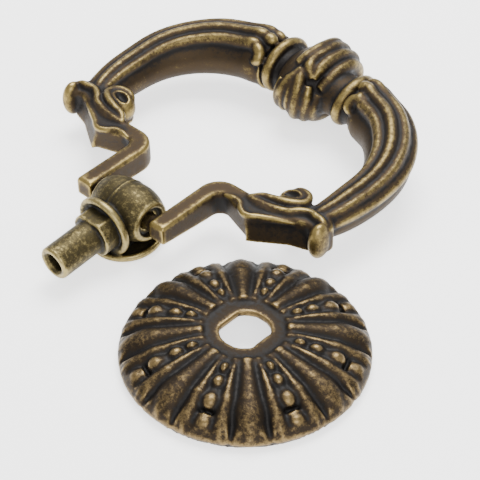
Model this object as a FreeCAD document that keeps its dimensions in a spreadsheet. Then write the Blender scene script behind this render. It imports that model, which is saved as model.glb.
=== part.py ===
import FreeCAD, Part
import math
import os

Vector = FreeCAD.Vector
Rotation = FreeCAD.Rotation
Placement = FreeCAD.Placement

doc = FreeCAD.newDocument("ring_pull_handle")

# Every driving size, in millimetres and degrees.
# The pull lies on a table with its post; the rosette lies beside it.
SIZES = [
    ("pivot_height", 6.6, "pivot line above the table"),
    ("post_droop", 5.0, "tilt of the post, stud end down"),
    ("peg_radius", 1.55, "pegs on the arm ends"),
    ("peg_clearance", 0.05, "radial gap between peg and eye"),
    ("stud_radius", 3.0, "round stud"),
    ("stud_end", 17.4, "stud end from the pivot line"),
    ("thread_drill", 3.3, "tapping hole for an M4 screw"),
    ("thread_depth", 10.0, "depth of the screw hole"),
    ("neck_radius", 3.95, "round sides of the neck"),
    ("neck_flats", 6.6, "width across the flats of the neck"),
    ("neck_start", 5.9, "flange side of the neck from the pivot line"),
    ("neck_length", 2.9, "length of the neck"),
    ("flange_radius", 5.6, "dished flange"),
    ("head_radius", 4.8, "barrel head at its middle"),
    ("head_half", 5.6, "half length of the barrel head"),
    ("foot_radius", 6.6, "round foot plate under the head"),
    ("foot_drop", 5.8, "underside of the foot below the pivot line"),
    ("foot_thickness", 1.3, "foot plate at its rim"),
    ("foot_back", 1.2, "middle of the foot behind the pivot line"),
    ("arm_gap", 7.0, "inner face of each arm from the middle"),
    ("arm_width", 3.45, "width of each arm"),
    ("arm_height", 5.0, "height of the arms and scrolls"),
    ("arm_back", 2.1, "arm end behind the pivot line"),
    ("arm_slope", 1.5, "rise of the underside towards the arm end"),
    ("curl_radius", 2.1, "rounded end of the inner scroll"),
    ("edge_chamfer", 0.45, "worn edges of the arms"),
    ("mould_draft", 1.2, "spread of the shoulder and the curl towards the underside"),
    ("ring_half", 28.0, "middle of the ring stock from the middle line"),
    ("ring_radius", 4.15, "round stock of the ring at its sides"),
    ("ring_thick", 5.45, "round stock of the ring beside the knot"),
    ("reed_depth", 0.95, "height of the reeds over their grooves"),
    ("knot_reach", 49.3, "knot from the pivot line"),
    ("knot_radius", 7.8, "knot at its middle"),
    ("knot_half", 5.4, "half length of the knot between its necks"),
    ("knot_lean", 15.0, "lean of the bands of the knot, in degrees"),
    ("collar_place", 8.7, "distance of each collar from the middle"),
    ("collar_radius", 6.4, "outer radius of the collars"),
    ("collar_width", 2.1, "width of each collar"),
    ("knot_bands", 5, "bands round the knot"),
    ("rosette_radius", 20.15, "outer radius of the rosette"),
    ("rosette_land", 5.9, "height of the flat land round its hole"),
    ("land_radius", 6.9, "radius of the land"),
    ("rosette_wall", 1.2, "wall of the hollow rosette"),
    ("rosette_x", 34.15, "rosette middle from the middle line"),
    ("rosette_y", 7.75, "rosette middle behind the pivot line"),
    ("petals", 8, "petals round the rosette"),
    ("flat_clearance", 0.1, "gap between the neck and the rosette hole"),
]

sheet = doc.addObject("Spreadsheet::Sheet", "sizes")
for row, (alias, value, note) in enumerate(SIZES, start=1):
    sheet.set("A%d" % row, alias)
    sheet.set("B%d" % row, str(value))
    sheet.set("C%d" % row, note)
    sheet.setAlias("B%d" % row, alias)
doc.recompute()


def size(alias):
    return float(sheet.get(alias))


def plane_of(body, role):
    for feature in body.Origin.OriginFeatures:
        if feature.Role == role:
            return feature


def sketch_on(body, role, name):
    sketch = body.newObject("Sketcher::SketchObject", name)
    sketch.AttachmentSupport = (plane_of(body, role), [""])
    sketch.MapMode = "FlatFace"
    return sketch


def point(pair):
    return Vector(pair[0], pair[1], 0)


def add_outline(sketch, steps):
    """Closed outline: each step is ("line", end) or ("arc", middle, end), from the last step's end."""
    start = steps[-1][-1]
    for step in steps:
        if step[0] == "line":
            sketch.addGeometry(Part.LineSegment(point(start), point(step[1])), False)
        else:
            sketch.addGeometry(Part.Arc(point(start), point(step[1]), point(step[2])), False)
        start = step[-1]


def revolve(body, role, axis, name, steps, kind="PartDesign::Revolution"):
    sketch = sketch_on(body, role, name + "_profile")
    add_outline(sketch, steps)
    feature = body.newObject(kind, name)
    feature.Profile = sketch
    feature.ReferenceAxis = (sketch, [axis])
    feature.Angle = 360
    doc.recompute()
    return feature


def extrude(body, sketch, name, length, kind="PartDesign::Pad"):
    feature = body.newObject(kind, name)
    feature.Profile = sketch
    feature.setExpression("Length", length)
    doc.recompute()
    return feature


# The post: stud, neck, flange, barrel head and foot are one casting.
def build_post():
    body = doc.addObject("PartDesign::Body", "post_casting")
    end = -size("stud_end")
    stud = size("stud_radius")
    neck = -size("neck_start")
    rim = size("flange_radius")
    revolve(body, "YZ_Plane", "H_Axis", "stud_and_flange", [
        ("line", (end, 0)),
        ("line", (end, stud - 0.3)),
        ("line", (end + 0.3, stud)),
        ("line", (neck, stud)),
        ("line", (neck + 0.35, stud + 0.9)),
        ("line", (neck - 0.35, rim - 0.75)),
        ("arc", (neck - 0.25, rim - 0.2), (neck + 0.25, rim)),
        ("arc", (neck + 0.85, rim - 0.2), (neck + 1.1, rim - 0.8)),
        ("line", (neck + 1.3, rim - 1.6)),
        ("line", (neck + 2.6, stud + 0.4)),
        ("line", (neck + 2.6, 0)),
    ])
    add_neck(body)
    add_head(body)
    add_foot(body)
    cut_eye(body)
    cut_thread(body)
    return body


def add_neck(body):
    """Round neck with two flats, for the rosette's hole."""
    radius = size("neck_radius")
    flat = size("neck_flats") / 2
    corner = math.sqrt(radius ** 2 - flat ** 2)
    sketch = sketch_on(body, "XZ_Plane", "neck_profile")
    sketch.AttachmentOffset = Placement(Vector(0, 0, size("neck_start")), Rotation())
    sketch.setExpression("AttachmentOffset.Base.z", "sizes.neck_start")
    add_outline(sketch, [
        ("line", (corner, flat)),
        ("arc", (radius, 0), (corner, -flat)),
        ("line", (-corner, -flat)),
        ("arc", (-radius, 0), (-corner, flat)),
    ])
    extrude(body, sketch, "neck", "sizes.neck_length")


def add_head(body):
    """Barrel head along the pivot line, with its casting line and recessed ends."""
    half = size("head_half")
    wide = size("head_radius")
    narrow = wide - 1.0
    seam = -0.7
    revolve(body, "XY_Plane", "H_Axis", "barrel_head", [
        ("line", (-half + 0.8, 0)),
        ("line", (-half + 0.8, 2.5)),
        ("line", (-half, 2.8)),
        ("arc", (-half - 0.1, narrow - 0.5), (-half + 0.5, narrow)),
        ("arc", (-half / 2 - 0.5, wide - 0.2), (seam - 0.25, wide)),
        ("arc", (seam, wide + 0.22), (seam + 0.25, wide)),
        ("arc", (half / 2 + 0.5, wide - 0.2), (half - 0.5, narrow)),
        ("arc", (half + 0.1, narrow - 0.5), (half, 2.8)),
        ("line", (half - 0.8, 2.5)),
        ("line", (half - 0.8, 0)),
    ])


def add_foot(body):
    """Round foot plate with a raised rim, joined to the head by a short web."""
    radius = size("foot_radius")
    under = -size("foot_drop")
    top = under + size("foot_thickness")
    back = size("foot_back")
    foot = revolve(body, "XZ_Plane", "V_Axis", "foot_plate", [
        ("line", (0, under)),
        ("line", (radius - 0.6, under)),
        ("arc", (radius - 0.15, under + 0.2), (radius, under + 0.65)),
        ("arc", (radius - 0.2, top - 0.15), (radius - 0.65, top)),
        ("line", (radius - 1.3, top - 0.35)),
        ("line", (0, top - 0.35)),
    ])
    foot.Profile[0].AttachmentOffset = Placement(Vector(0, 0, back), Rotation())
    foot.Profile[0].setExpression("AttachmentOffset.Base.z", "sizes.foot_back")
    sketch = sketch_on(body, "XY_Plane", "web_profile")
    sketch.AttachmentOffset = Placement(Vector(0, 0, under + 0.3), Rotation())
    sketch.setExpression("AttachmentOffset.Base.z", "-sizes.foot_drop + 0.3")
    add_outline(sketch, [
        ("line", (2.6, -3.2)),
        ("line", (2.6, 3.2)),
        ("line", (-2.6, 3.2)),
        ("line", (-2.6, -3.2)),
    ])
    extrude(body, sketch, "foot_web", "3")


def cut_eye(body):
    """Eye for the pegs, right through the head."""
    sketch = sketch_on(body, "YZ_Plane", "eye_profile")
    radius = size("peg_radius") + size("peg_clearance")
    sketch.addGeometry(Part.Circle(Vector(0, 0, 0), Vector(0, 0, 1), radius), False)
    eye = body.newObject("PartDesign::Pocket", "eye")
    eye.Profile = sketch
    eye.Type = "ThroughAll"
    eye.Midplane = True
    doc.recompute()


def cut_thread(body):
    """Screw hole in the stud's open end, with a countersunk mouth."""
    sketch = sketch_on(body, "XZ_Plane", "screw_profile")
    sketch.AttachmentOffset = Placement(Vector(0, 0, size("stud_end")), Rotation())
    sketch.setExpression("AttachmentOffset.Base.z", "sizes.stud_end")
    sketch.addGeometry(Part.Circle(Vector(0, 0, 0), Vector(0, 0, 1), size("thread_drill") / 2), False)
    doc.recompute()
    hole = body.newObject("PartDesign::Hole", "screw_hole")
    hole.Profile = sketch
    hole.setExpression("Diameter", "sizes.thread_drill")
    hole.DepthType = "Dimension"
    hole.setExpression("Depth", "sizes.thread_depth")
    hole.HoleCutType = "Countersink"
    hole.HoleCutDiameter = 4.4
    hole.HoleCutCountersinkAngle = 90
    doc.recompute()


# The bail: arms with scrolls, reeded ring and knot are one casting.
# Corners of the arm and scroll outline: across from the arm's inner face, along from its end, radius.
SCROLL = [
    (0, 16.9, 4.2),
    (14.0, 16.9, 3.2),
    (13.9, 22.2, 0.9),
    (18.0, 21.5, 0),
    (22.4, 20.9, 0),
    (24.4, 19.0, 0.8),
    (22.9, 15.4, 0.5),
    (20.6, 17.0, 1.2),
    (17.6, 16.1, 0),
    (11.2, 11.7, 0.5),
]


def rounded_outline(corners):
    """Steps of a closed outline whose corners (x, y, radius) are rounded tangent to both sides."""
    steps = []
    count = len(corners)
    for number, (x, y, radius) in enumerate(corners):
        here = Vector(x, y, 0)
        if radius == 0:
            steps.append(("line", (x, y)))
            continue
        before = (Vector(*corners[number - 1][:2], 0) - here).normalize()
        after = (Vector(*corners[(number + 1) % count][:2], 0) - here).normalize()
        half = before.getAngle(after) / 2
        first = here + before * (radius / math.tan(half))
        last = here + after * (radius / math.tan(half))
        to_centre = (before + after).normalize()
        middle = here + to_centre * (radius / math.sin(half) - radius)
        steps.append(("line", (first.x, first.y)))
        steps.append(("arc", (middle.x, middle.y), (last.x, last.y)))
    return steps


def scroll_point(pair):
    """Scroll points are kept from the arm's inner face and its end."""
    return (size("arm_gap") + pair[0], pair[1] - size("arm_back"))


def build_arm():
    body = doc.addObject("PartDesign::Body", "arm_and_scroll")
    width = size("arm_width")
    sketch = sketch_on(body, "XY_Plane", "arm_profile")
    sketch.AttachmentOffset = Placement(Vector(0, 0, -size("arm_height") / 2), Rotation())
    sketch.setExpression("AttachmentOffset.Base.z", "-sizes.arm_height / 2")
    corners = [(0, 0, 0)] + SCROLL + [(width, 14.2, 1.6), (width, 0, 0)]
    add_outline(sketch, rounded_outline([scroll_point(c[:2]) + (c[2],) for c in corners]))
    pad = extrude(body, sketch, "arm_pad", "sizes.arm_height")
    half = size("arm_height") / 2
    edges = []
    for number, edge in enumerate(pad.Shape.Edges, start=1):
        box = edge.BoundBox
        if abs(abs(box.ZMin) - half) < 1e-6 and box.ZLength < 1e-6:
            edges.append("Edge%d" % number)
    chamfer = body.newObject("PartDesign::Chamfer", "arm_chamfer")
    chamfer.Base = (pad, edges)
    chamfer.setExpression("Size", "sizes.edge_chamfer")
    doc.recompute()
    thin_arm(body)
    return body


def thin_arm(body):
    """Slopes the underside of the arm up towards its end."""
    half = size("arm_height") / 2
    end = -size("arm_back")
    sketch = sketch_on(body, "YZ_Plane", "slope_profile")
    sketch.AttachmentOffset = Placement(Vector(0, 0, size("arm_gap") - 1), Rotation())
    sketch.setExpression("AttachmentOffset.Base.z", "sizes.arm_gap - 1")
    add_outline(sketch, [
        ("line", (end - 1, -half - 1)),
        ("line", (11.5, -half - 1)),
        ("line", (11.5, -half)),
        ("line", (end - 1, -half + size("arm_slope"))),
    ])
    slope = body.newObject("PartDesign::Pocket", "arm_underside")
    slope.Profile = sketch
    slope.Reversed = True
    slope.setExpression("Length", "sizes.arm_width + 2")
    doc.recompute()


def build_curl_eye():
    """Rounded end of the inner scroll, wider at its foot, as the mould's draft leaves it."""
    eye = doc.addObject("Part::Cone", "curl_eye")
    eye.setExpression("Radius1", "sizes.curl_radius + sizes.mould_draft / 2")
    eye.setExpression("Radius2", "sizes.curl_radius - sizes.mould_draft / 3")
    eye.setExpression("Height", "sizes.arm_height - sizes.edge_chamfer / 2")
    centre = scroll_point((14.4, 20.6))
    eye.Placement = Placement(Vector(centre[0], centre[1], -size("arm_height") / 2), Rotation())
    doc.recompute()
    return eye


def build_shoulder_base():
    """Sloped face of the shoulder, which spreads towards the underside."""
    spread = size("mould_draft")
    low = -size("arm_height") / 2
    upper = [(11.3, 12.0), (17.5, 16.25), (20.4, 17.3), (20.4, 19.4), (11.3, 15.0)]
    lower = [(11.6, 12.0 - spread), (18.1, 16.2 - spread), (21.3, 17.2 - spread), (21.3, 19.4), (11.6, 15.0)]
    sections = []
    for name, corners, height in (("shoulder_top", upper, 1.3), ("shoulder_foot", lower, low)):
        section = doc.addObject("Part::Feature", name)
        points = [point(scroll_point(pair)) + Vector(0, 0, height) for pair in corners]
        section.Shape = Part.makePolygon(points + points[:1])
        sections.append(section)
    base = doc.addObject("Part::Loft", "shoulder_base")
    base.Sections = sections
    base.Solid = True
    base.Ruled = True
    doc.recompute()
    return base


def ring_path(end):
    """Middle line of one half of the ring: position, stock radius and heading.

    The stock grows upward and to the inside as it nears the knot; its underside stays level.
    """
    side = size("ring_half")
    top = size("knot_reach") - 1.7
    low = 30.0
    flat = 10.0
    thin = size("ring_radius")
    thick = size("ring_thick")
    stations = [
        (side - 2.6, 15.9, 1.5, 60),
        (side - 1.5, 18.0, 2.9, 66),
        (side - 0.6, 21.0, 3.5, 78),
        (side - 0.1, 25.5, thin - 0.2, 87),
        (side, low, thin, 90),
    ]
    for turn in (15, 30, 45, 60, 75, 90):
        angle = math.radians(turn)
        x = flat + (side - flat) * math.cos(angle)
        y = low + (top - low) * math.sin(angle)
        radius = thick - (thick - thin) * (1 - turn / 90) ** 1.8
        heading = math.degrees(math.atan2((top - low) * math.cos(angle), -(side - flat) * math.sin(angle)))
        stations.append((x, y, radius, heading))
    stations[-1] = (end + 1.5, top, thick, 180)
    stations.append((end + 0.5, top, thick - 0.6, 180))
    stations.append((end - 0.5, top, thick - 1.9, 180))
    return stations


def reeded_wire(radius):
    """Round stock with four reeds on its upper side; x points to the ring's inside."""
    depth = size("reed_depth") * radius / size("ring_radius")

    def at(angle, r):
        turn = math.radians(angle)
        return Vector(r * math.sin(turn), r * math.cos(turn), 0)

    grooves = [52, 17.5, -17, -51, -88]
    edges = []
    for first, second in zip(grooves[:-1], grooves[1:]):
        crest = (first + second) / 2
        edges.append(Part.Arc(at(first, radius - depth), at(crest, radius), at(second, radius - depth)).toShape())
    edges.append(Part.Arc(at(-88, radius - depth), at(-140, radius - 0.3), at(-180, radius)).toShape())
    edges.append(Part.Arc(at(180, radius), at(115, radius), at(52, radius - depth)).toShape())
    return Part.Wire(edges)


def build_ring_half(side, end):
    """Half of the ring, from the scroll to the collar, with its end at a distance from the middle."""
    sections = []
    for number, (x, y, radius, heading) in enumerate(ring_path(end), start=1):
        section = doc.addObject("Part::Feature", "%s_ring_section_%02d" % (side, number))
        section.Shape = reeded_wire(radius)
        turn = math.radians(heading)
        along = Vector(math.cos(turn), math.sin(turn), 0)
        inside = Vector(-math.sin(turn), math.cos(turn), 0)
        lift = 0.75 * max(radius - size("ring_radius"), 0)
        section.Placement = Placement(Vector(x, y, lift), Rotation(inside, Vector(0, 0, 1), along, "ZXY"))
        sections.append(section)
    loft = doc.addObject("Part::Loft", side + "_ring_stock")
    loft.Sections = sections
    loft.Solid = True
    loft.Ruled = False
    doc.recompute()
    return loft


def knot_lean():
    """The wrap of the knot leans: its upper side towards the right arm, its front to the left."""
    return Rotation(-size("knot_lean") / 3, size("knot_lean"), 0)


def build_knot():
    """Turban knot: a leaning bulb with bands round it."""
    body = doc.addObject("PartDesign::Body", "knot_wrap")
    half = size("knot_half")
    radius = size("knot_radius")
    bands = int(size("knot_bands"))
    pitch = 2 * half / bands

    def reach(x):
        return radius * (1 - 0.26 * abs(x / half) ** 2.2)

    steps = [("line", (-half, 0)), ("line", (-half, reach(half) - 0.9))]
    for number in range(bands):
        middle = -half + pitch * (number + 0.5)
        after = -half + pitch * (number + 1)
        steps.append(("arc", (middle, reach(middle)), (after, reach(after) - 0.9)))
    steps.append(("line", (half, 0)))
    revolve(body, "XY_Plane", "H_Axis", "knot_bands", steps)
    body.setExpression("Placement.Base.y", "sizes.knot_reach")
    body.Placement.Rotation = knot_lean()
    doc.recompute()
    return body


def build_collar(name, x):
    """Rounded collar between the ring and the knot, leaning with the knot's bands."""
    body = doc.addObject("PartDesign::Body", name)
    half = size("collar_width") / 2
    edge = size("collar_radius") - half
    revolve(body, "XY_Plane", "H_Axis", name + "_rim", [
        ("line", (-half, 0)),
        ("line", (-half, edge)),
        ("arc", (0, size("collar_radius")), (half, edge)),
        ("line", (half, 0)),
    ])
    body.Placement = Placement(Vector(x, size("knot_reach"), 0), knot_lean())
    doc.recompute()
    return body


def build_core(name, radius, near, far, aside, lift):
    """Round stock inside the knot, between two distances from the middle."""
    core = doc.addObject("Part::Cylinder", name)
    core.Radius = radius
    core.Height = far - near
    core.Placement = Placement(Vector(near, size("knot_reach") - aside, lift), Rotation(Vector(0, 1, 0), 90))
    doc.recompute()
    return core


def build_peg():
    peg = doc.addObject("Part::Cylinder", "peg")
    peg.setExpression("Radius", "sizes.peg_radius")
    peg.setExpression("Height", "sizes.arm_gap - 2")
    peg.Placement = Placement(Vector(2.4, 0, 0), Rotation(Vector(0, 1, 0), 90))
    doc.recompute()
    return peg


LINE_OUT = [(8.2, 16.0), (9.6, 15.4), (12.3, 15.3), (15.2, 16.3), (17.6, 18.0), (19.8, 19.2), (21.6, 18.8), (22.8, 16.8)]
LINE_IN = [(8.2, 16.0), (10.4, 16.4), (12.8, 17.0), (15.0, 18.2), (16.6, 19.6), (17.3, 21.3)]


def build_line(name, pairs):
    """Raised line on the scroll's upper face, drawn along a smooth curve."""
    height = size("arm_height") / 2
    points = [point(scroll_point(pair)) + Vector(0, 0, height) for pair in pairs]
    curve = Part.BSplineCurve()
    curve.interpolate(points)
    spine = doc.addObject("Part::Feature", name + "_spine")
    spine.Shape = Part.Wire([curve.toShape()])
    tangent = curve.tangent(curve.FirstParameter)[0]
    section = doc.addObject("Part::Feature", name + "_section")
    section.Shape = Part.Wire([Part.Circle(points[0], tangent, 0.48).toShape()])
    sweep = doc.addObject("Part::Sweep", name)
    sweep.Sections = [section]
    sweep.Spine = (spine, [])
    sweep.Solid = True
    sweep.Frenet = False
    doc.recompute()
    return sweep


def build_bail():
    lean = 0.6 * size("collar_radius") * math.tan(math.radians(size("knot_lean")))
    collar = size("collar_place")
    end = collar + size("collar_width") / 2 + 0.9
    half_parts = [build_arm(), build_peg(), build_curl_eye(), build_shoulder_base()]
    half_parts += [build_line("outer_line", LINE_OUT), build_line("inner_line", LINE_IN)]
    right_arm = doc.addObject("Part::MultiFuse", "right_arm")
    right_arm.Shapes = half_parts
    halves = [right_arm, mirrored("left_arm", right_arm)]
    halves.append(build_ring_half("right", end + lean))
    halves.append(mirrored("left_ring_half", build_ring_half("left", end - lean)))
    neck = size("collar_radius") - size("collar_width") / 2
    whole = doc.addObject("Part::MultiFuse", "bail_casting")
    whole.Shapes = halves + [
        build_knot(),
        build_collar("left_collar", -collar),
        build_collar("right_collar", collar),
        build_core("knot_neck", neck, -collar, collar, 0, 0),
        build_core("knot_core", neck - 1.1, lean - end - 1, end + lean + 1, 0.9, 0.5),
    ]
    whole.Refine = True
    doc.recompute()
    return whole


def mirrored(name, source):
    """The same form on the other side of the pull."""
    copy = doc.addObject("Part::Mirroring", name)
    copy.Source = source
    copy.Normal = Vector(1, 0, 0)
    copy.Base = Vector(0, 0, 0)
    return copy


# The rosette: a hollow cap with petals, ribs and rows of beads.
def crest(reach):
    """Height of the petal tops over the table at a distance from the middle."""
    rise = size("rosette_land") + 0.75
    part = max(0.0, (reach - 9.0) / (size("rosette_radius") - 9.0))
    return rise - 3.4 * part ** 1.8


def valley(reach):
    """Height of the cap wall between the petals."""
    rim = size("land_radius")
    inner = (rim + 0.2, size("rosette_land") - 0.5)
    middle = (14.0, size("rosette_land") - 1.7)
    outer = (size("rosette_radius") - 0.6, 1.4)
    first, second = (inner, middle) if reach < middle[0] else (middle, outer)
    return first[1] + (second[1] - first[1]) * (reach - first[0]) / (second[0] - first[0])


def add_rod(body, name, angle, stations):
    """Tapered radial rod with a rounded back: stations of distance, half width and top."""
    turn = math.radians(angle)
    sketches = []
    for number, (reach, half, top) in enumerate(stations, start=1):
        sketch = sketch_on(body, "YZ_Plane", "%s_section_%d" % (name, number))
        place = Vector(reach * math.sin(turn), 0, reach * math.cos(turn))
        sketch.AttachmentOffset = Placement(place, Rotation(Vector(0, 1, 0), angle))
        low = valley(min(reach, size("rosette_radius"))) - 0.6
        add_outline(sketch, [
            ("line", (-half, low)),
            ("line", (half, low)),
            ("arc", (0, top), (-half, low)),
        ][1:])
        sketches.append(sketch)
    loft = body.newObject("PartDesign::AdditiveLoft", name)
    loft.Profile = sketches[0]
    loft.Sections = sketches[1:]
    loft.Ruled = True
    doc.recompute()
    return loft


def pattern(body, name, features):
    ring = body.newObject("PartDesign::PolarPattern", name)
    ring.Originals = features
    for feature in body.Origin.OriginFeatures:
        if feature.Role == "Z_Axis":
            ring.Axis = (feature, [""])
    ring.Angle = 360
    body.Tip = ring
    ring.setExpression("Occurrences", "sizes.petals")
    doc.recompute()
    return ring


def build_rosette():
    body = doc.addObject("PartDesign::Body", "rosette_casting")
    edge = size("rosette_radius")
    land = size("rosette_land")
    rim = size("land_radius")
    revolve(body, "XZ_Plane", "V_Axis", "cap_wall", [
        ("line", (0, 0)),
        ("line", (edge - 0.6, 0)),
        ("line", (edge - 0.6, valley(edge - 0.6))),
        ("line", (14.0, valley(14.0))),
        ("line", (rim + 0.2, valley(rim + 0.2))),
        ("line", (rim, land)),
        ("line", (0, land)),
    ])
    step = 360.0 / size("petals")
    beads = add_rod(body, "bead_row", step / 2, [
        (rim - 0.1, 0.45, crest(rim) - 0.6),
        (14.5, 1.25, crest(14.5) - 0.35),
        (edge + 0.3, 2.0, crest(edge) - 0.3),
    ])
    pattern(body, "bead_rows", [beads])
    cut_gaps(body)
    for name, angle in (("rib_left", 13.6), ("rib_right", step - 13.6)):
        rib = add_rod(body, name, angle, [
            (rim - 0.1, 0.4, crest(rim) - 0.3),
            (14.5, 0.62, crest(14.5) - 0.1),
            (edge + 0.3, 0.85, crest(edge) - 0.1),
        ])
        pattern(body, name + "s", [rib])
    petal = add_rod(body, "petal", 0, [
        (rim - 0.2, 1.0, crest(rim)),
        (14.5, 2.3, crest(14.5) + 0.1),
        (edge + 0.3, 3.3, crest(edge)),
    ])
    pattern(body, "petal_ring", [petal])
    trim_rim(body)
    cut_hollow(body)
    cut_hole(body)
    return body


def cut_gaps(body):
    """Gaps that part each row into beads."""
    for number, (reach, half) in enumerate(((9.7, 0.22), (12.7, 0.28), (16.7, 0.34)), start=1):
        floor = valley(reach) + 0.1
        revolve(body, "XZ_Plane", "V_Axis", "bead_gap_%d" % number, [
            ("line", (reach - half, floor)),
            ("line", (reach + half, floor)),
            ("line", (reach + half + 0.3, crest(reach) + 0.5)),
            ("line", (reach - half - 0.3, crest(reach) + 0.5)),
        ], "PartDesign::Groove")


def trim_rim(body):
    """Trims everything to the round rim and its sloped shoulder."""
    edge = size("rosette_radius")
    revolve(body, "XZ_Plane", "V_Axis", "rim_trim", [
        ("line", (edge, -1)),
        ("line", (edge, 1.6)),
        ("line", (edge - 0.6, 2.9)),
        ("line", (edge - 2.2, 4.3)),
        ("line", (edge - 2.2, 9)),
        ("line", (edge + 4, 9)),
        ("line", (edge + 4, -1)),
    ], "PartDesign::Groove")


def cut_hollow(body):
    """Hollow back that leaves an even wall and a rim on the table."""
    edge = size("rosette_radius")
    wall = size("rosette_wall")
    ceiling = size("rosette_land") - wall
    revolve(body, "XZ_Plane", "V_Axis", "hollow_back", [
        ("line", (0, -4)),
        ("line", (edge + 4, -4)),
        ("line", (edge + 4, 0)),
        ("line", (edge - 1.9, 0)),
        ("line", (14.0, valley(14.0) - wall)),
        ("line", (size("land_radius"), ceiling)),
        ("line", (0, ceiling)),
    ], "PartDesign::Groove")


def cut_hole(body):
    """Hole with two flats, for the neck of the post."""
    gap = size("flat_clearance")
    radius = size("neck_radius") + gap
    flat = size("neck_flats") / 2 + gap
    corner = math.sqrt(radius ** 2 - flat ** 2)
    sketch = sketch_on(body, "XY_Plane", "hole_profile")
    add_outline(sketch, [
        ("line", (flat, -corner)),
        ("line", (flat, corner)),
        ("arc", (0, radius), (-flat, corner)),
        ("line", (-flat, -corner)),
        ("arc", (0, -radius), (flat, -corner)),
    ][1:])
    hole = body.newObject("PartDesign::Pocket", "neck_hole")
    hole.Profile = sketch
    hole.Type = "ThroughAll"
    hole.Midplane = True
    doc.recompute()


def bail_tilt(form):
    """Tilt of the bail at which its leaning knot rests on the table."""
    reach = size("knot_reach")
    tilt = math.asin((size("knot_radius") - size("pivot_height")) / reach)
    for _ in range(2):
        resting = form.Shape.copy()
        resting.Placement = Placement(Vector(0, 0, size("pivot_height")), Rotation(Vector(1, 0, 0), math.degrees(tilt)))
        tilt -= resting.optimalBoundingBox(False, False).ZMin / reach
    return math.degrees(tilt)


def make_node(name, source, base, tilt):
    node = doc.addObject("Part::Feature", name)
    node.Label = name
    node.Shape = source.Shape.copy()
    node.Placement = Placement(base, Rotation(Vector(1, 0, 0), tilt)).multiply(source.Placement)
    return node


pivot = Vector(0, 0, size("pivot_height"))
beside = Vector(size("rosette_x"), -size("rosette_y"), 0)
bail = build_bail()
tilt = bail_tilt(bail)
nodes = [
    make_node("ring_bail", bail, pivot, tilt),
    make_node("pivot_post", build_post(), pivot, size("post_droop")),
    make_node("rosette", build_rosette(), beside, 0),
]

# The row origin is on the table, at the middle of the space that the pieces take.
space = FreeCAD.BoundBox()
for node in nodes:
    space.add(node.Shape.optimalBoundingBox(False, False))
shift = Vector(-space.Center.x, -space.Center.y, -space.ZMin)
for node in nodes:
    node.Placement.Base = node.Placement.Base + shift
doc.recompute()
print("pivot", [round(v, 5) for v in pivot + shift], "rosette", [round(v, 5) for v in beside + shift], "tilt", round(tilt, 5))

for item in doc.Objects:
    states = [word for word in item.State if word in ("Invalid", "Error")]
    if states:
        raise RuntimeError("%s is not built: %s" % (item.Name, states))
os.makedirs("parts", exist_ok=True)
for node in nodes:
    if node.Shape.isNull() or not node.Shape.isValid() or len(node.Shape.Solids) != 1:
        raise RuntimeError("%s is not one sound solid" % node.Label)
    node.Shape.exportStep("parts/%s.step" % node.Label)
    box = node.Shape.BoundBox
    print(node.Label, round(node.Shape.Volume, 1), [round(v, 2) for v in (box.XMin, box.XMax, box.YMin, box.YMax, box.ZMin, box.ZMax)])
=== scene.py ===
import math

import bpy
import numpy as np
from mathutils import Matrix, Vector


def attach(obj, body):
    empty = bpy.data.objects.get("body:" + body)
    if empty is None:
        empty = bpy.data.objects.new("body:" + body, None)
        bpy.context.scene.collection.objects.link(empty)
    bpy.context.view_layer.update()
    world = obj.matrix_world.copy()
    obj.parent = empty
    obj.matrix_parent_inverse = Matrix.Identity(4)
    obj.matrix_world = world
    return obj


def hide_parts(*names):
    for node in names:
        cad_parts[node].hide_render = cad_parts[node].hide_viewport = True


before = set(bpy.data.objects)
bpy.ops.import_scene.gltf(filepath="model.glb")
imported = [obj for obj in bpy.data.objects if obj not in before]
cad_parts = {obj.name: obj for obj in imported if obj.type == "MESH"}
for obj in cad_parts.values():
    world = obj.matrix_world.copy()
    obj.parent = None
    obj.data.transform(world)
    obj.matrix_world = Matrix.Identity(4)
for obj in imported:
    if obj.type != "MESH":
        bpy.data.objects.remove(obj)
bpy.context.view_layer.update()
bpy.ops.object.select_all(action="DESELECT")


# The drop ring, one brass casting: two squared arms with turned-in pegs, a leaf scroll on each
# shoulder, the reeded ring and the turban knot between its collars. Cast, then darkened in a
# bath and rubbed, so that the hollows stay nearly black and the ridges show the metal. The dark
# of the hollows is painted partly as that patina and partly as painted shade.

def casting_from(node, name):
    """A copy of the solid's own surface with its corners joined, to be finished as a casting."""
    piece = bpy.data.objects.new(name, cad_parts[node].data.copy())
    bpy.context.scene.collection.objects.link(piece)
    bpy.ops.object.select_all(action="DESELECT")
    bpy.context.view_layer.objects.active = piece
    piece.select_set(True)
    bpy.ops.object.mode_set(mode="EDIT")
    bpy.ops.mesh.select_all(action="SELECT")
    bpy.ops.mesh.remove_doubles(threshold=0.000002)
    bpy.ops.object.mode_set(mode="OBJECT")
    return piece


def pour(piece, grain, rounds):
    """Runs the forms into one skin, as the metal does in the mould, with softened corners."""
    skin = piece.modifiers.new("skin", "REMESH")
    skin.mode = "VOXEL"
    skin.voxel_size = grain
    soften = piece.modifiers.new("soften", "SMOOTH")
    soften.factor = 0.5
    soften.iterations = rounds
    bpy.ops.object.select_all(action="DESELECT")
    bpy.context.view_layer.objects.active = piece
    piece.select_set(True)
    bpy.ops.object.modifier_apply(modifier="skin")
    bpy.ops.object.modifier_apply(modifier="soften")
    bpy.ops.object.shade_smooth()


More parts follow.
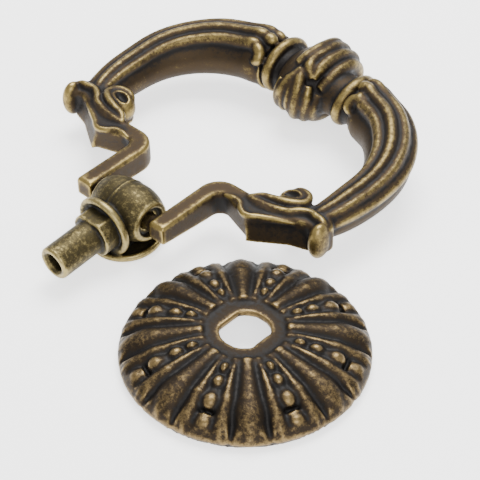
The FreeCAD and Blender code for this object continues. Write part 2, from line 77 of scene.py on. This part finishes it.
def mark_relief(piece, name, rounds, reach):
    """Stores how far each point stands above or below the softened skin, from 0 to 1."""
    mesh = piece.data
    count = len(mesh.vertices)
    at = np.zeros(count * 3)
    mesh.vertices.foreach_get("co", at)
    at = at.reshape(-1, 3)
    out = np.zeros(count * 3)
    mesh.vertices.foreach_get("normal", out)
    out = out.reshape(-1, 3)
    edge = np.zeros(len(mesh.edges) * 2, int)
    mesh.edges.foreach_get("vertices", edge)
    edge = edge.reshape(-1, 2)
    here = np.concatenate([edge[:, 0], edge[:, 1]])
    there = np.concatenate([edge[:, 1], edge[:, 0]])
    share = np.maximum(np.bincount(here, minlength=count), 1)
    soft = at.copy()
    for _ in range(rounds):
        soft = np.stack([np.bincount(here, soft[there, k], count) / share for k in range(3)], 1)
    height = np.einsum("ij,ij->i", at - soft, out) / reach
    layer = mesh.attributes.new(name, "FLOAT", "POINT")
    layer.data.foreach_set("value", np.clip(0.5 + 0.5 * height, 0, 1).astype(np.float32))


# Rubbed patina and painted shade, shared by the three castings: the finish is darkest where the surface
# lies low, partly as patina and partly as painted shade in the recesses, brown on the flanks and bare
# brass where hands and the polishing wheel have reached.
patina_and_shade = bpy.data.node_groups.new("rubbed_patina_and_painted_shade", "ShaderNodeTree")
for label in ("Hollow", "Flank", "Ridge"):
    patina_and_shade.interface.new_socket(name=label, in_out="INPUT", socket_type="NodeSocketColor")
for label in ("Rub", "Mottle", "Scale"):
    patina_and_shade.interface.new_socket(name=label, in_out="INPUT", socket_type="NodeSocketFloat")
patina_and_shade.interface.new_socket(name="Color", in_out="OUTPUT", socket_type="NodeSocketColor")
for label in ("Roughness", "Metallic", "Height"):
    patina_and_shade.interface.new_socket(name=label, in_out="OUTPUT", socket_type="NodeSocketFloat")
given = patina_and_shade.nodes.new("NodeGroupInput")
result = patina_and_shade.nodes.new("NodeGroupOutput")
place = patina_and_shade.nodes.new("ShaderNodeTexCoord")


def calc(tree, operation, first, second, third=None):
    """One sum in a shader: each of its terms is a number or another node's socket."""
    node = tree.nodes.new("ShaderNodeMath")
    node.operation = operation
    for socket, value in zip(node.inputs, (first, second, third)):
        if isinstance(value, (int, float)):
            socket.default_value = value
        elif value is not None:
            tree.links.new(value, socket)
    return node.outputs[0]


def cloud(tree, where, scale, detail, rough):
    """A noise over the piece, with its features a given number to the metre."""
    node = tree.nodes.new("ShaderNodeTexNoise")
    node.inputs["Detail"].default_value = detail
    node.inputs["Roughness"].default_value = rough
    tree.links.new(where, node.inputs["Vector"])
    if isinstance(scale, (int, float)):
        node.inputs["Scale"].default_value = scale
    else:
        tree.links.new(scale, node.inputs["Scale"])
    return node.outputs["Fac"]


def blend(tree, amount, first, second):
    """Mixes two colours by a mask."""
    node = tree.nodes.new("ShaderNodeMix")
    node.data_type = "RGBA"
    tree.links.new(amount, node.inputs["Factor"])
    for socket, value in ((node.inputs[6], first), (node.inputs[7], second)):
        if isinstance(value, (tuple, list)):
            socket.default_value = value
        else:
            tree.links.new(value, socket)
    return node.outputs[2]


def ease(tree, value, low, high):
    """A smooth step from 0 at low to 1 at high."""
    node = tree.nodes.new("ShaderNodeMapRange")
    node.interpolation_type = "SMOOTHSTEP"
    node.inputs["From Min"].default_value = low
    node.inputs["From Max"].default_value = high
    tree.links.new(value, node.inputs["Value"])
    return node.outputs["Result"]


def unevenness(tree, mask, amount):
    """A mask turned into an unevenness on either side of zero."""
    return calc(tree, "MULTIPLY", calc(tree, "SUBTRACT", mask, 0.5), amount)


spot = place.outputs["Object"]
fine = patina_and_shade.nodes.new("ShaderNodeAttribute")
fine.attribute_name = "edge_relief"
wide = patina_and_shade.nodes.new("ShaderNodeAttribute")
# The broad relief attribute read here carries patina and painted shade in the recesses.
wide.attribute_name = "form_relief_and_shade"
speckle = cloud(patina_and_shade, spot, calc(patina_and_shade, "MULTIPLY", given.outputs["Scale"], 5.0), 4.0, 0.75)
mottle = cloud(patina_and_shade, spot, given.outputs["Scale"], 5.0, 0.65)
stain = cloud(patina_and_shade, spot, calc(patina_and_shade, "MULTIPLY", given.outputs["Scale"], 0.22), 3.0, 0.5)
uneven = calc(patina_and_shade, "ADD", unevenness(patina_and_shade, mottle, 0.9), unevenness(patina_and_shade, speckle, 0.8))
uneven = calc(patina_and_shade, "MULTIPLY", uneven, given.outputs["Mottle"])
stains = unevenness(patina_and_shade, stain, 0.35)
# painted shade: the broad relief darkens whole recesses where shade falls, on top of the patina
broad_part = calc(patina_and_shade, "MULTIPLY", wide.outputs["Fac"], 0.5)
sharp_part = calc(patina_and_shade, "MULTIPLY", fine.outputs["Fac"], 0.5)
# both relief masks together: rubbing and patina, with painted shade in the low places
rubbed_and_shaded = calc(patina_and_shade, "ADD", calc(patina_and_shade, "ADD", broad_part, sharp_part), given.outputs["Rub"])
patches = calc(patina_and_shade, "ADD", calc(patina_and_shade, "MULTIPLY", uneven, 0.35), calc(patina_and_shade, "MULTIPLY", stains, 0.5))
level = calc(patina_and_shade, "ADD", rubbed_and_shaded, patches)
flank = ease(patina_and_shade, level, 0.34, 0.54)
ridge = ease(patina_and_shade, level, 0.58, 0.86)
dull = blend(patina_and_shade, flank, given.outputs["Hollow"], given.outputs["Flank"])
tone = blend(patina_and_shade, ridge, dull, given.outputs["Ridge"])
smoothed = calc(patina_and_shade, "SUBTRACT", 0.56, calc(patina_and_shade, "MULTIPLY", ridge, 0.24))
roughness = calc(patina_and_shade, "ADD", smoothed, calc(patina_and_shade, "MULTIPLY", uneven, 0.25))
metallic = calc(patina_and_shade, "MULTIPLY_ADD", flank, 0.45, 0.5)
height = calc(patina_and_shade, "ADD", mottle, calc(patina_and_shade, "MULTIPLY", speckle, 0.5))
patina_and_shade.links.new(tone, result.inputs["Color"])
patina_and_shade.links.new(roughness, result.inputs["Roughness"])
patina_and_shade.links.new(metallic, result.inputs["Metallic"])
patina_and_shade.links.new(height, result.inputs["Height"])


def antique_brass(name, hollow, flank_tone, ridge_tone, rub, mottling, scale):
    """A brass finish on the shared patina and painted shade, with this piece's own tones."""
    finish = bpy.data.materials.new(name)
    finish.use_nodes = True
    tree = finish.node_tree
    shader = tree.nodes["Principled BSDF"]
    shader.inputs["Specular IOR Level"].default_value = 0.4
    group = tree.nodes.new("ShaderNodeGroup")
    group.node_tree = patina_and_shade
    for label, value in (("Hollow", hollow), ("Flank", flank_tone), ("Ridge", ridge_tone)):
        group.inputs[label].default_value = (*value, 1)
    group.inputs["Rub"].default_value = rub
    group.inputs["Mottle"].default_value = mottling
    group.inputs["Scale"].default_value = scale
    bump = tree.nodes.new("ShaderNodeBump")
    bump.inputs["Strength"].default_value = 0.35
    bump.inputs["Distance"].default_value = 0.00008
    tree.links.new(group.outputs["Color"], shader.inputs["Base Color"])
    tree.links.new(group.outputs["Roughness"], shader.inputs["Roughness"])
    tree.links.new(group.outputs["Metallic"], shader.inputs["Metallic"])
    tree.links.new(group.outputs["Height"], bump.inputs["Height"])
    tree.links.new(bump.outputs["Normal"], shader.inputs["Normal"])
    return finish


# The pull's own place at rest: its pegs' line, and the lean that lets it lie on its knot. Forms on
# it are laid out in millimetres from the middle of that line, x along it and y towards the knot.
pegs_at = (-0.01117235, -0.01458182, 0.0066)
lean_at_rest = math.radians(1.467)
pull = Matrix.Translation(pegs_at) @ Matrix.Rotation(lean_at_rest, 4, "X")


def settle(place, lean=0.0, yaw=0.0, onto=pull):
    """Brings the form just made in millimetres to its place on a casting."""
    form = bpy.context.active_object
    turned = Matrix.Rotation(math.radians(yaw), 4, "Z") @ Matrix.Rotation(math.radians(lean), 4, "Y")
    home = onto @ Matrix.Scale(0.001, 4) @ Matrix.Translation(place)
    form.matrix_world = home @ turned @ form.matrix_basis
    bpy.ops.object.select_all(action="DESELECT")
    form.select_set(True)
    bpy.ops.object.transform_apply(location=True, rotation=True, scale=True)
    return form


def lump(place, radii, lean=0.0, yaw=0.0, onto=pull):
    """A rounded mass of metal, or the shape of a scoop."""
    bpy.ops.object.select_all(action="DESELECT")
    bpy.ops.mesh.primitive_uv_sphere_add(segments=40, ring_count=24, radius=1)
    bpy.context.active_object.scale = radii
    return settle(place, lean, yaw, onto)


def bar(place, length, radius_y, radius_z, lean=0.0):
    """A short oval bar that lies along the pull's own x."""
    bpy.ops.object.select_all(action="DESELECT")
    bpy.ops.mesh.primitive_cylinder_add(vertices=48, radius=1, depth=1, rotation=(0, math.pi / 2, 0))
    bpy.ops.object.transform_apply(location=False, rotation=True, scale=False)
    bpy.context.active_object.scale = (length, radius_y, radius_z)
    return settle(place, lean)


def collar(place, radius_y, radius_z, thickness, lean=0.0):
    """A raised ring round the stock."""
    bpy.ops.object.select_all(action="DESELECT")
    bpy.ops.mesh.primitive_torus_add(
        major_segments=64,
        minor_segments=16,
        major_radius=1,
        minor_radius=thickness,
        rotation=(0, math.pi / 2, 0),
    )
    bpy.ops.object.transform_apply(location=False, rotation=True, scale=False)
    bpy.context.active_object.scale = (5.0, radius_y, radius_z)
    return settle(place, lean)


def strand(stops, radius, place=(0, 0, 0), lean=0.0, yaw=0.0, tip=0.6, onto=pull):
    """A round strand through its stops, with tapered and closed ends."""
    bpy.ops.object.select_all(action="DESELECT")
    bpy.ops.curve.primitive_bezier_curve_add()
    line = bpy.context.active_object
    line.data.splines.clear()
    run = line.data.splines.new("BEZIER")
    run.bezier_points.add(len(stops) - 1)
    for number, (point, stop) in enumerate(zip(run.bezier_points, stops)):
        point.co = stop
        point.handle_left_type = "AUTO"
        point.handle_right_type = "AUTO"
        point.radius = tip if number in (0, len(stops) - 1) else 1.0
    line.data.dimensions = "3D"
    line.data.resolution_u = 8
    line.data.bevel_depth = radius
    line.data.bevel_resolution = 4
    line.data.use_fill_caps = True
    line.select_set(True)
    bpy.context.view_layer.objects.active = line
    bpy.ops.object.convert(target="MESH")
    return settle(place, lean, yaw, onto)


def melt(piece, forms):
    """Joins forms to a casting, to be run into one skin with it."""
    bpy.ops.object.select_all(action="DESELECT")
    for form in forms:
        form.select_set(True)
    piece.select_set(True)
    bpy.context.view_layer.objects.active = piece
    bpy.ops.object.join()


def chisel(piece, tools):
    """Cuts forms out of a casting."""
    tool = tools[0]
    if len(tools) > 1:
        melt(tool, tools[1:])
    cut = piece.modifiers.new("cut", "BOOLEAN")
    cut.operation = "DIFFERENCE"
    cut.solver = "MANIFOLD"
    cut.object = tool
    bpy.ops.object.select_all(action="DESELECT")
    bpy.context.view_layer.objects.active = piece
    piece.select_set(True)
    bpy.ops.object.modifier_apply(modifier="cut")
    bpy.data.objects.remove(tool)


def block(place, sides):
    """A square-edged waste block, to cut with."""
    bpy.ops.object.select_all(action="DESELECT")
    bpy.ops.mesh.primitive_cube_add(size=1)
    bpy.context.active_object.scale = sides
    return settle(place)


def on_knot(wraps, depth):
    """Points on the knot, from places along it in millimetres and turns round it in degrees."""
    half_length = 6.3
    across = 9.3
    upright = 7.0
    points = []
    for along, turn in wraps:
        swell = math.sqrt(max(1 - (abs(along) / half_length) ** 2.6, 0.02))
        around = math.radians(turn)
        inward = (across * swell - depth) * math.sin(around)
        points.append((along, -inward, (upright * swell - depth) * math.cos(around)))
    return points


def mirrored(side, stops):
    """The same stops on the right arm, 1, or the left one, -1."""
    return [(side * x, y, z) for x, y, z in stops]


ring = casting_from("ring_bail", "ring_casting")
melt(ring, [lump((side * 21.2, 18.6, 0.6), (3.2, 2.6, 2.9)) for side in (1, -1)])
melt(ring, [lump((side * 29.8, 15.0, 0.2), (1.6, 2.3, 3.5)) for side in (1, -1)])
pour(ring, 0.00028, 0)

# Cut away: the plain stock between the collars, then on each arm the hollow of the curl, the
# scoop behind the lip and the lip's square corner.
waste = [block((1.5, 51, 0), (21.6, 24, 24))]
for side in (1, -1):
    waste.append(lump((side * 20.2, 18.6, 3.9), (2.2, 1.15, 1.7), 0, side * 10))
    waste.append(lump((side * 27.2, 11.5, -0.8), (1.9, 1.4, 4.6)))
    waste.append(block((side * 32.4, 18.6, 0), (2.8, 5.4, 12)))
chisel(ring, waste)

# The knot: a leaning bulb, wound with four strands that start under the crossing and go round to
# its other side, with a few thin ends that fan out below, and a collar on each side of it.
knot = {"place": (-0.34, 49.27, 0), "lean": 14.8, "yaw": -6.5}
knot_strands = (
    (1.15, (
        (-1.9, 31), (-1.6, 15), (-1.8, -10), (-2.3, -60), (-2.4, -120),
        (-2.0, -180), (-1.3, -230), (-0.7, -275), (-0.4, -300), (-0.3, -328),
    )),
    (1.20, (
        (2.5, 33), (0.8, 26), (-0.2, 14), (-0.4, -8), (-1.0, -40), (-0.9, -90),
        (-0.2, -150), (1.2, -210), (2.7, -255), (2.0, -297), (0.9, -314), (0.1, -327),
    )),
    (1.20, (
        (2.5, 33), (2.0, 18), (1.4, -10), (1.3, -40), (1.3, -90),
        (1.9, -150), (3.0, -210), (4.1, -255), (3.7, -297), (2.9, -315),
    )),
    (1.35, (
        (4.4, 40), (4.2, 15), (3.7, -15), (3.3, -50), (3.4, -100),
        (3.9, -160), (4.5, -220), (4.8, -270), (4.7, -312),
    )),
    (0.65, ((-0.3, 44), (0.3, 58), (1.1, 72), (1.6, 95), (1.6, 130))),
    (0.60, ((-1.2, 52), (-0.7, 66), (0.0, 84), (0.1, 115), (0.0, 140))),
    (0.55, ((-2.2, 62), (-1.7, 78), (-1.5, 100), (-1.6, 130))),
    (0.75, ((5.6, 52), (5.7, 80), (5.7, 110), (5.6, 150))),
)
turban = [lump(knot["place"], (5.9, 8.3, 6.1), knot["lean"], knot["yaw"])]
for radius, path in knot_strands:
    turban.append(strand(on_knot(path, radius * 0.75), radius, knot["place"], knot["lean"], knot["yaw"]))
turban.append(bar((1.3, 48.6, -0.1), 22.5, 4.7, 4.0))
turban.append(collar((-7.5, 48.7, 0.2), 5.1, 4.3, 0.22))
turban.append(collar((9.2, 48.6, 0.1), 4.8, 4.0, 0.22, 9.6))

# Tongues at the ends of the reeds, and the raised lines, curl and lip of the scroll on each arm.
scroll_line = (
    (15.5, 13.7, 2.6), (17.4, 13.7, 2.5), (19.3, 13.9, 2.5), (21.2, 14.3, 2.6),
    (23.0, 15.0, 2.7), (24.6, 16.4, 2.8), (26.1, 17.1, 2.8), (27.6, 16.9, 2.9),
    (29.1, 16.6, 2.8), (30.2, 15.5, 1.6), (30.5, 14.7, -0.4), (30.2, 14.4, -2.6),
)
curl_rim = (
    (15.5, 13.9, 2.6), (17.2, 15.2, 2.6), (18.9, 15.6, 2.8), (20.7, 16.1, 3.0),
    (22.4, 16.9, 3.0), (23.5, 18.0, 2.8), (23.6, 19.1, 2.6), (23.0, 20.2, 2.5),
    (21.8, 20.8, 2.3), (20.4, 20.7, 2.0), (19.2, 20.0, 1.5),
)
shoulder_edge = (
    (11.6, 11.6, 2.1), (13.3, 11.9, 2.2), (14.9, 11.8, 2.2), (16.4, 10.6, 2.2),
    (17.7, 10.1, 2.2), (20.0, 11.4, 2.1), (22.4, 12.8, 2.0), (25.0, 14.2, 1.8),
)
for side, end in ((1, 12.4), (-1, 9.9)):
    for angle in (0, -34, -69):
        around = math.radians(angle)
        tongue_at = (side * (end + 0.6), 47.6 - 4.2 * math.sin(around), 0.97 + 4.2 * math.cos(around))
        turban.append(lump(tongue_at, (1.9, 1.35, 1.25)))
    hook = []
    for step, angle in ((2.6, 33), (0.9, 38), (-0.3, 50), (-0.5, 64), (0.5, 76)):
        around = math.radians(angle)
        beside = side * (end + 0.4 + step)
        hook.append((beside, 47.6 - 4.5 * math.sin(around), 0.97 + 4.5 * math.cos(around)))
    turban.append(strand(hook, 1.15))
    turban.append(strand(mirrored(side, scroll_line), 0.75))
    turban.append(strand(mirrored(side, curl_rim), 0.8))
    turban.append(strand(mirrored(side, shoulder_edge), 0.6))
melt(ring, turban)
pour(ring, 0.00026, 3)
mark_relief(ring, "edge_relief", 6, 0.00012)
# The broad relief also serves as painted shade in the ring's recesses.
mark_relief(ring, "form_relief_and_shade", 70, 0.0009)
ring.data.materials.clear()
ring.data.materials.append(antique_brass(
    "ring_antique_brass",
    # Hollow tone: patina, and painted shade in the recesses.
    hollow=(0.005, 0.0035, 0.003),
    flank_tone=(0.046, 0.032, 0.019),
    ridge_tone=(0.265, 0.195, 0.068),
    rub=-0.03,
    mottling=1.4,
    scale=1300.0,
))
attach(ring, "bail")
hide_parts("ring_bail")


# The pivot post, a brass casting turned at its stud: drilled and tapped stud, dished flange,
# flatted neck, barrel head with the eye for the ring's pegs, and the round foot under it.
post = casting_from("pivot_post", "post_casting")
pour(post, 0.00018, 3)
mark_relief(post, "edge_relief", 5, 0.00012)
# The broad relief also serves as painted shade in the post's recesses.
mark_relief(post, "form_relief_and_shade", 90, 0.0008)
post.data.materials.clear()
post.data.materials.append(antique_brass(
    "post_antique_brass",
    # Hollow tone: patina, and painted shade in the recesses.
    hollow=(0.005, 0.004, 0.003),
    flank_tone=(0.055, 0.044, 0.021),
    ridge_tone=(0.30, 0.235, 0.095),
    rub=0.04,
    mottling=2.2,
    scale=1500.0,
))
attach(post, "post")
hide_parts("pivot_post")


# The rosette, a thin pressed or cast brass cap with petals, ribs and rows of beads round a flat
# land, and a flatted hole that goes over the post's neck. It lies on the table, hollow side down.
cap = casting_from("rosette", "rosette_casting")
pour(cap, 0.00024, 0)
middle = Matrix.Translation((0.02297765, -0.02233182, 0))
rib_line = (
    (8.2, 0, 6.1), (11.5, 0, 5.6), (15.2, 0, 4.75),
    (17.6, 0, 3.7), (19.2, 0, 2.7), (20.0, 0, 1.5),
)
bead_row = (
    (18.1, 2.7, 1.5, 1.65),
    (14.9, 4.3, 1.6, 1.45),
    (11.7, 5.05, 1.35, 1.1),
    (9.0, 5.5, 1.05, 0.75),
)
mounds = []
for petal in range(8):
    for angle in (-14, 14):
        seat = middle @ Matrix.Rotation(math.radians(45 * petal + angle), 4, "Z")
        mounds.append(strand(rib_line, 0.55, onto=seat))
    seat = middle @ Matrix.Rotation(math.radians(45 * petal), 4, "Z")
    mounds.append(lump((14.8, 0, 2.3), (5.4, 3.1, 3.3), 11, 0, seat))
    seat = seat @ Matrix.Rotation(math.radians(22.5), 4, "Z")
    for out, high, long, wide in bead_row:
        slope = 18 if out > 16 else 10
        mounds.append(lump((out, 0, high), (long, wide, 1.3), slope, 0, seat))
melt(cap, mounds)
pour(cap, 0.00024, 0)

# The hollow side is cut clear again, so that nothing hangs below the rim.
under = Matrix.Translation((0.02297765, -0.02233182, -0.0001))
chisel(cap, [lump((0, 0, 0), (19.4, 19.4, 4.6), onto=under)])
pour(cap, 0.00024, 3)
mark_relief(cap, "edge_relief", 8, 0.00012)
# The broad relief also serves as painted shade in the rosette's recesses.
mark_relief(cap, "form_relief_and_shade", 90, 0.0009)
cap.data.materials.clear()
cap.data.materials.append(antique_brass(
    "rosette_antique_brass",
    # Hollow tone: patina, and painted shade in the recesses.
    hollow=(0.004, 0.003, 0.0025),
    flank_tone=(0.026, 0.019, 0.013),
    ridge_tone=(0.21, 0.145, 0.062),
    rub=-0.03,
    mottling=1.5,
    scale=1700.0,
))
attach(cap, "post")
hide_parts("rosette")


# The table: a plain white sheet under even studio light, one wide softbox overhead and a
# weaker one on the viewer's side.
bpy.ops.object.select_all(action="DESELECT")
bpy.ops.mesh.primitive_plane_add(size=4.0, location=(0, 0, 0))
table = bpy.context.active_object
table.name = "table_top"
sheet = bpy.data.materials.new("white_table")
sheet.use_nodes = True
paper = sheet.node_tree.nodes["Principled BSDF"]
paper.inputs["Base Color"].default_value = (0.93, 0.93, 0.93, 1)
paper.inputs["Roughness"].default_value = 0.9
paper.inputs["Emission Color"].default_value = (1, 1, 1, 1)
paper.inputs["Emission Strength"].default_value = 1.6
table.data.materials.append(sheet)

room = bpy.data.worlds.new("studio_room")
room.use_nodes = True
room.node_tree.nodes["Background"].inputs["Color"].default_value = (1, 1, 1, 1)
room.node_tree.nodes["Background"].inputs["Strength"].default_value = 0.95
bpy.context.scene.world = room


def softbox(name, spot_at, aim, width, power):
    """A square lamp that faces a point on the table."""
    bpy.ops.object.light_add(type="AREA", location=spot_at)
    lamp = bpy.context.active_object
    lamp.name = name
    lamp.data.size = width
    lamp.data.energy = power
    lamp.rotation_mode = "QUATERNION"
    lamp.rotation_quaternion = (Vector(spot_at) - Vector(aim)).to_track_quat("Z", "Y")


softbox("softbox_above", (-0.10, 0.16, 0.42), (0, 0, 0), 0.30, 3.4)
softbox("softbox_front", (0.34, -0.22, 0.34), (0, 0, 0), 0.30, 1.6)

# The photographer's camera: about forty degrees above the table, off the ring's left side.
elevation = math.radians(40.669)
turn = math.radians(47.229)
distance = 0.272782
flat = math.cos(elevation)
right = Vector((math.sin(turn), math.cos(turn), 0))
forward = Vector((-math.cos(turn) * flat, math.sin(turn) * flat, -math.sin(elevation)))
upward = right.cross(forward)

# The focal length in pixels, and where the pegs' line stands off the middle of the picture.
picture_side = 480
pixels = 5.892 * 272.782
aside = (128.063 - picture_side / 2) / pixels * distance
below = (208.151 - picture_side / 2) / pixels * distance
pegs_seen = Vector((-0.011172, -0.014582, 0.0066))
stand = pegs_seen - forward * distance - right * aside + upward * below
lens = bpy.data.cameras.new("photo_camera")
lens.sensor_width = 36
lens.lens = lens.sensor_width * pixels / picture_side
lens.clip_start = 0.01
viewer = bpy.data.objects.new("photo_camera", lens)
bpy.context.scene.collection.objects.link(viewer)
facing = Matrix((right, upward, -forward)).transposed().to_4x4()
viewer.matrix_world = Matrix.Translation(stand) @ facing
bpy.context.scene.camera = viewer
